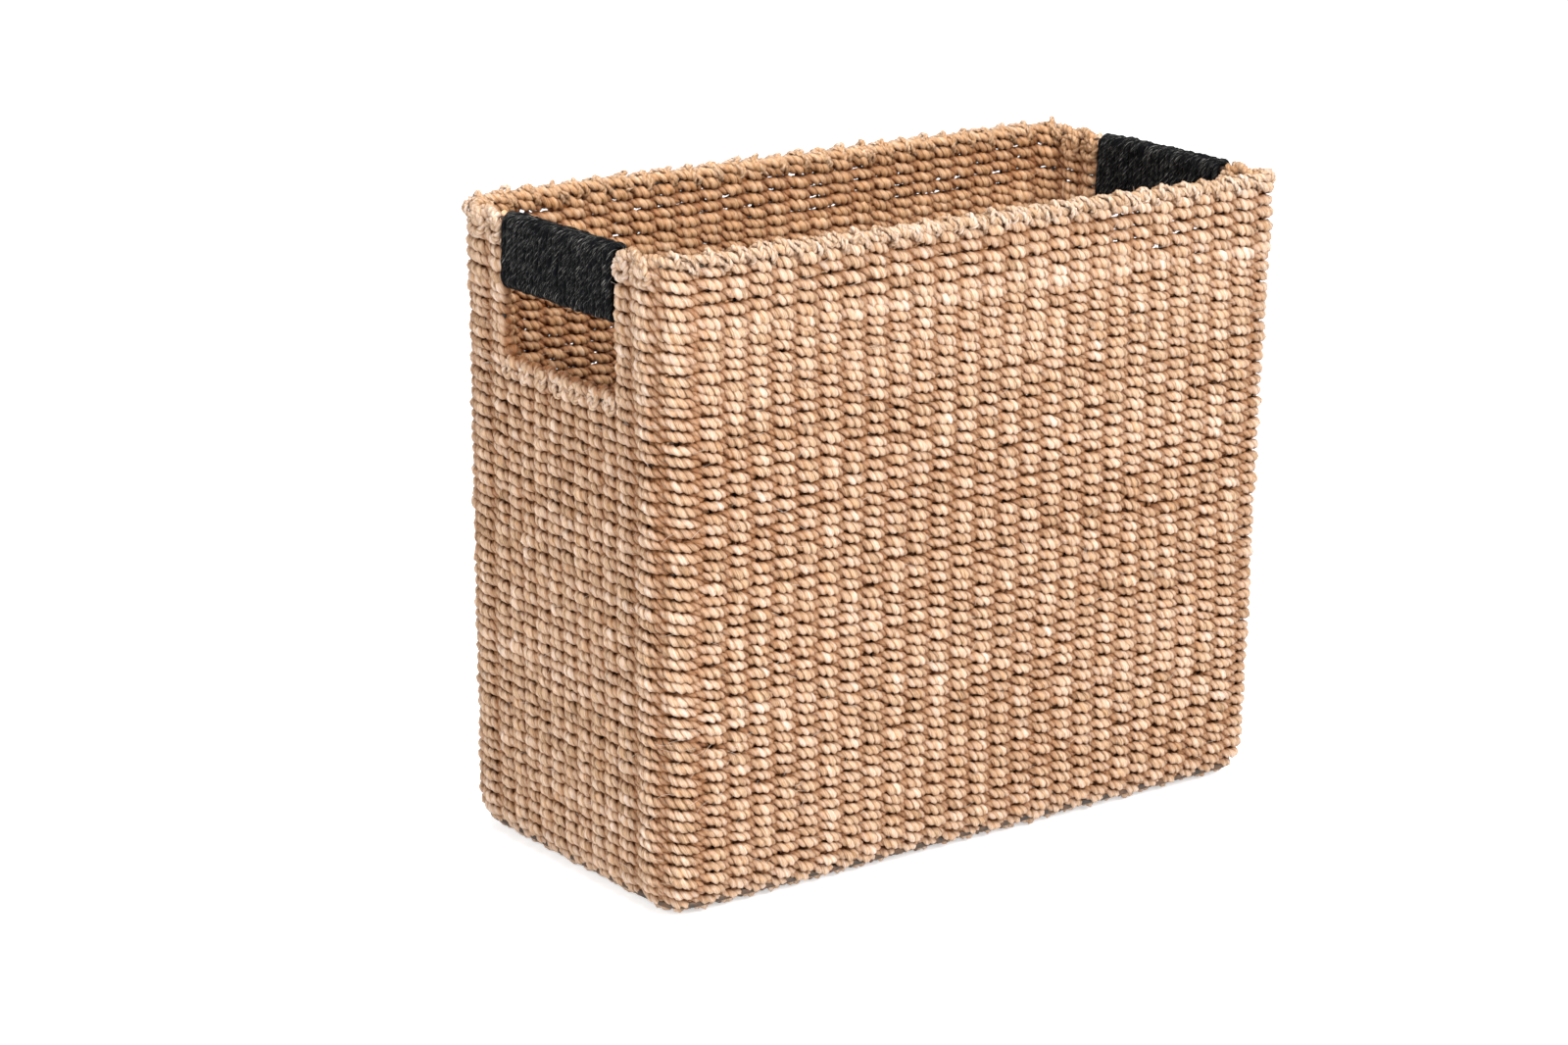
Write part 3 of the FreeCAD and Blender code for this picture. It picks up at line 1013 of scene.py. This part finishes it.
# The black cord is wound round each band in one long spiral.
wrap = {
    "radius": 2.15 * mm,
    "sides": 8,
    "lay": 15.0 * mm,
    "turns": 26,
    "stepsPerTurn": 52,
    "rounding": 5.0 * mm,
    "mostRound": 0.98,  # of half the band's thickness
    "cornerSteps": 9,
    "outset": 0.6 * mm,
    "yWander": 0.35 * mm,
    "yEvery": 23,
    "growWander": 0.02,
    "growEvery": 31,
    "seed": 53,
}

padding = {
    "overlap": 1.9,  # radii from one cord to the next
    "points": 20,
    "lay": 9.1 * mm,
    "sides": 6,
    "seed": 60,
}


def bandLoop(count, halfX, halfZ, rounding):
    # Points evenly spaced round a rounded rectangle, as x and z from its middle.
    x = halfX - rounding
    z = halfZ - rounding
    corners = ((x, z, 0), (-x, z, 90), (-x, -z, 180), (x, -z, 270))
    points = []
    for x, z, start in corners:
        for degrees in np.linspace(start, start + 90, wrap["cornerSteps"]):
            angle = math.radians(degrees)
            points.append((x + rounding * math.cos(angle), z + rounding * math.sin(angle)))
    points.append(points[0])
    points = np.array(points)
    steps = np.linalg.norm(np.diff(points, axis=0), axis=1)
    lengths = np.concatenate([[0], np.cumsum(steps)])
    spots = np.linspace(0, lengths[-1], count, endpoint=False)
    return np.stack([np.interp(spots, lengths, points[:, axis]) for axis in (0, 1)], -1)


def stepWander(chance, count, every):
    # A random value every so many steps, with straight lines between them.
    knots = np.arange(0, count, every)
    return np.interp(np.arange(count), knots, chance.normal(0, 1, len(knots)))


def makeWrap(end):
    chance = np.random.default_rng(wrap["seed"] + (end == "right"))
    low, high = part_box(f"{end}_handle_wrap")
    middle = (low + high) / 2
    radius = wrap["radius"]
    halfX = (high.x - low.x) / 2 - radius + wrap["outset"]
    halfZ = (high.z - low.z) / 2 - radius + wrap["outset"]
    rounding = min(wrap["rounding"], halfX * wrap["mostRound"])
    loop = bandLoop(wrap["stepsPerTurn"], halfX, halfZ, rounding)
    count = wrap["stepsPerTurn"] * wrap["turns"]
    section = loop[np.arange(count) % wrap["stepsPerTurn"]]
    reachY = (high.y - low.y) / 2 - radius
    y = np.linspace(-reachY, reachY, count)
    y = y + wrap["yWander"] * stepWander(chance, count, wrap["yEvery"])
    grow = 1 + wrap["growWander"] * stepWander(chance, count, wrap["growEvery"])
    path = np.stack([middle.x + section[:, 0] * grow, y, middle.z + section[:, 1] * grow], -1)
    guide = np.zeros_like(path)
    guide[:, 1] = 1
    shell = cordShells(path[None], radius, wrap["lay"], chance, False, guide[None], wrap["sides"])
    nodes = [f"{end}_handle_wrap"]
    makePiece(f"{end}_handle_wrap_cord", [shell], blackMaterial, nodes)


def makePadding(end):
    # A bundle of seagrass cords lies inside the winding, between the rail and the rim hoop.
    chance = np.random.default_rng(padding["seed"] + (end == "right"))
    low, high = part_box(f"{end}_handle_core")
    radius = (high.x - low.x) / 2
    count = int((high.z - low.z) / (padding["overlap"] * radius))
    y = np.linspace(low.y, high.y, padding["points"])
    x = np.full_like(y, (low.x + high.x) / 2)
    heights = np.linspace(low.z + radius, high.z - radius, count)
    paths = np.array([np.stack([x, y, np.full_like(y, z)], -1) for z in heights])
    shell = cordShells(paths, radius, padding["lay"], chance, sides=padding["sides"])
    nodes = [f"{end}_handle_core"]
    makePiece(f"{end}_handle_padding", [shell], stakeMaterial, nodes)


for end in ("left", "right"):
    makeWrap(end)
    makePadding(end)

# Loose fibres: how many lift off the outside, the inside and the rim, and how they lie. A pair
# is a range in mm.
fibres = {
    "radius": 0.12 * mm,
    "points": 5,
    "sides": 3,
    "lay": 20 * mm,
    "tone": 0.3,
    "outer": 1700,
    "inner": 500,
    "rim": 700,
    "skin": 4.1 * mm,
    "length": (2.5, 8),
    "lift": (0.2, 2.4),
    "liftPower": 1.5,
    "slantSpread": 28,  # in degrees
    "bendSpread": 25,  # in degrees
    "rimLength": (1.5, 5),
    "rimOut": (-4.5, 5.5),
    "rimLeanSpread": 0.7,  # in radians
    "rimOutSpread": 0.4,
    "rimStart": 3.2 * mm,
    "holeMargin": 3 * mm,
    "seed": 61,
}


def strayPaths(count, face, chance):
    # Loose fibres that lift off the wall. face is 1 for its outside and -1 for its inside.
    column = chance.uniform(0, stakeCount, count)[:, None]
    down = chance.uniform(0, straightDown, count)[:, None]
    t = np.linspace(0, 1, fibres["points"])
    size = chance.uniform(*fibres["length"], count)[:, None] * mm
    slant = chance.normal(0, fibres["slantSpread"], count)[:, None]
    slant = np.radians(slant + chance.normal(0, fibres["bendSpread"], count)[:, None] * t)
    way = chance.choice([-1, 1], count)[:, None]
    along = column + size * t * np.cos(slant) * way / basket["stakePitch"]
    lift = chance.uniform(*fibres["lift"], count)[:, None] * mm
    out = face * (fibres["skin"] + lift * t ** fibres["liftPower"])
    return wallPoint(along, down + size * t * np.sin(slant), out)


def rimFrizz(count, chance):
    # Short fibres that stand up from the rim, away from the wound bands.
    columns = np.array(rimColumns(), float)
    column = chance.choice(columns, count)[:, None] + chance.uniform(-0.5, 0.5, count)[:, None]
    t = np.linspace(0, 1, fibres["points"])
    size = chance.uniform(*fibres["rimLength"], count)[:, None] * mm
    lean = chance.normal(0, fibres["rimLeanSpread"], count)[:, None]
    out = chance.uniform(*fibres["rimOut"], count)[:, None] * mm
    out = out + size * t * chance.normal(0, fibres["rimOutSpread"], count)[:, None]
    drop = fibres["rimStart"] - size * t * np.cos(lean)
    along = column + size * t * np.sin(lean) / basket["stakePitch"]
    return wallPoint(along, topZ - rimHeight + drop, out)


def overHole(paths):
    # True for a fibre that starts over a hand hole or on the wound band above it.
    start = paths[:, 0]
    inEnd = np.abs(start[:, 0]) > straightX
    between = np.abs(start[:, 1]) < basket["legY"]
    return inEnd & between & (start[:, 2] > sillZ - fibres["holeMargin"])


def makeFibres():
    chance = np.random.default_rng(fibres["seed"])
    paths = np.concatenate([
        strayPaths(fibres["outer"], 1, chance), strayPaths(fibres["inner"], -1, chance),
        rimFrizz(fibres["rim"], chance)])
    paths = paths[~overHole(paths)]
    shell = cordShells(
        paths, fibres["radius"], fibres["lay"], chance, sides=fibres["sides"], toneShift=fibres["tone"])
    makePiece("stray_fibres", [shell], borderMaterial, [])


makeFibres()

# The wires stay as the frame gives them.
for name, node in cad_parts.items():
    if node.hide_render:
        continue
    node.data.materials.clear()
    node.data.materials.append(wireMaterial)
    print("kept node", name)

studio = {
    "floorSize": 30.0,
    "floorColour": (0.86, 0.86, 0.86, 1),
    "floorRoughness": 0.9,
    "floorSpecular": 0.1,
    "floorGlow": 0.55,
    "worldSeen": 1.0,
    "worldLight": 0.46,
    "lightAim": (0, 0, 0.16),
}

# Each light's name, place, size in metres and energy.
lights = (
    ("keyLight", (0.35, -2.4, 1.9), 1.3, 96.0),
    ("topLight", (-0.5, -0.5, 2.6), 1.5, 55.0),
    ("fillLight", (-2.4, -0.8, 1.2), 1.5, 38.0),
)


def seenOnly(tree, seen, otherwise):
    # One value for what the camera sees directly and another for the light that it gives.
    path = tree.nodes.new("ShaderNodeLightPath")
    gain = mathNode(tree, "MULTIPLY", path.outputs["Is Camera Ray"], seen - otherwise)
    return mathNode(tree, "ADD", gain, otherwise)


def makeStudio():
    bpy.ops.mesh.primitive_plane_add(size=studio["floorSize"], location=(0, 0, 0))
    ground = bpy.context.active_object
    ground.name = "studio_floor"
    material, tree, shader = newMaterial("paleFloor")
    feed(tree, shader, {
        "Base Color": studio["floorColour"], "Roughness": studio["floorRoughness"],
        "Specular IOR Level": studio["floorSpecular"], "Emission Color": (1, 1, 1, 1),
        "Emission Strength": seenOnly(tree, studio["floorGlow"], 0.0)})
    ground.data.materials.append(material)
    world = bpy.data.worlds.new("studioWorld")
    bpy.context.scene.world = world
    world.use_nodes = True
    tree = world.node_tree
    feed(tree, tree.nodes["Background"], {
        "Color": (1, 1, 1, 1), "Strength": seenOnly(tree, studio["worldSeen"], studio["worldLight"])})
    for name, place, size, energy in lights:
        light = bpy.data.lights.new(name, "AREA")
        light.energy = energy
        light.size = size
        lamp = bpy.data.objects.new(name, light)
        lamp.location = place
        ahead = Vector(studio["lightAim"]) - Vector(place)
        lamp.rotation_euler = ahead.to_track_quat("-Z", "Y").to_euler()
        bpy.context.collection.objects.link(lamp)


# The camera's angles are in degrees, its lens and sensor in mm and the rest in metres.
view = {
    "turn": -37.07,
    "rise": 16.02,
    "roll": 0.67,
    "distance": 1.9854,
    "lens": 88.15,
    "sensor": 36,
    "aimHeight": 0.175,
    "slideRight": -0.04641,
    "slideUp": -0.02249,
}


def makeCamera():
    turn, rise, roll = (math.radians(view[key]) for key in ("turn", "rise", "roll"))
    back = Vector((
        math.sin(turn) * math.cos(rise), -math.cos(turn) * math.cos(rise), math.sin(rise)))
    right = (-back).cross(Vector((0, 0, 1))).normalized()
    up = right.cross(-back)
    rolledRight = math.cos(roll) * right + math.sin(roll) * up
    rolledUp = -math.sin(roll) * right + math.cos(roll) * up
    place = Vector((0, 0, view["aimHeight"])) + back * view["distance"]
    place += view["slideRight"] * rolledRight + view["slideUp"] * rolledUp
    data = bpy.data.cameras.new("studioCamera")
    data.lens = view["lens"]
    data.sensor_width = view["sensor"]
    camera = bpy.data.objects.new("studioCamera", data)
    camera.matrix_world = Matrix.Translation(place) @ Matrix(
        (rolledRight, rolledUp, back)).transposed().to_4x4()
    bpy.context.collection.objects.link(camera)
    bpy.context.scene.camera = camera


makeStudio()
makeCamera()
bpy.context.scene.view_settings.view_transform = "Standard"
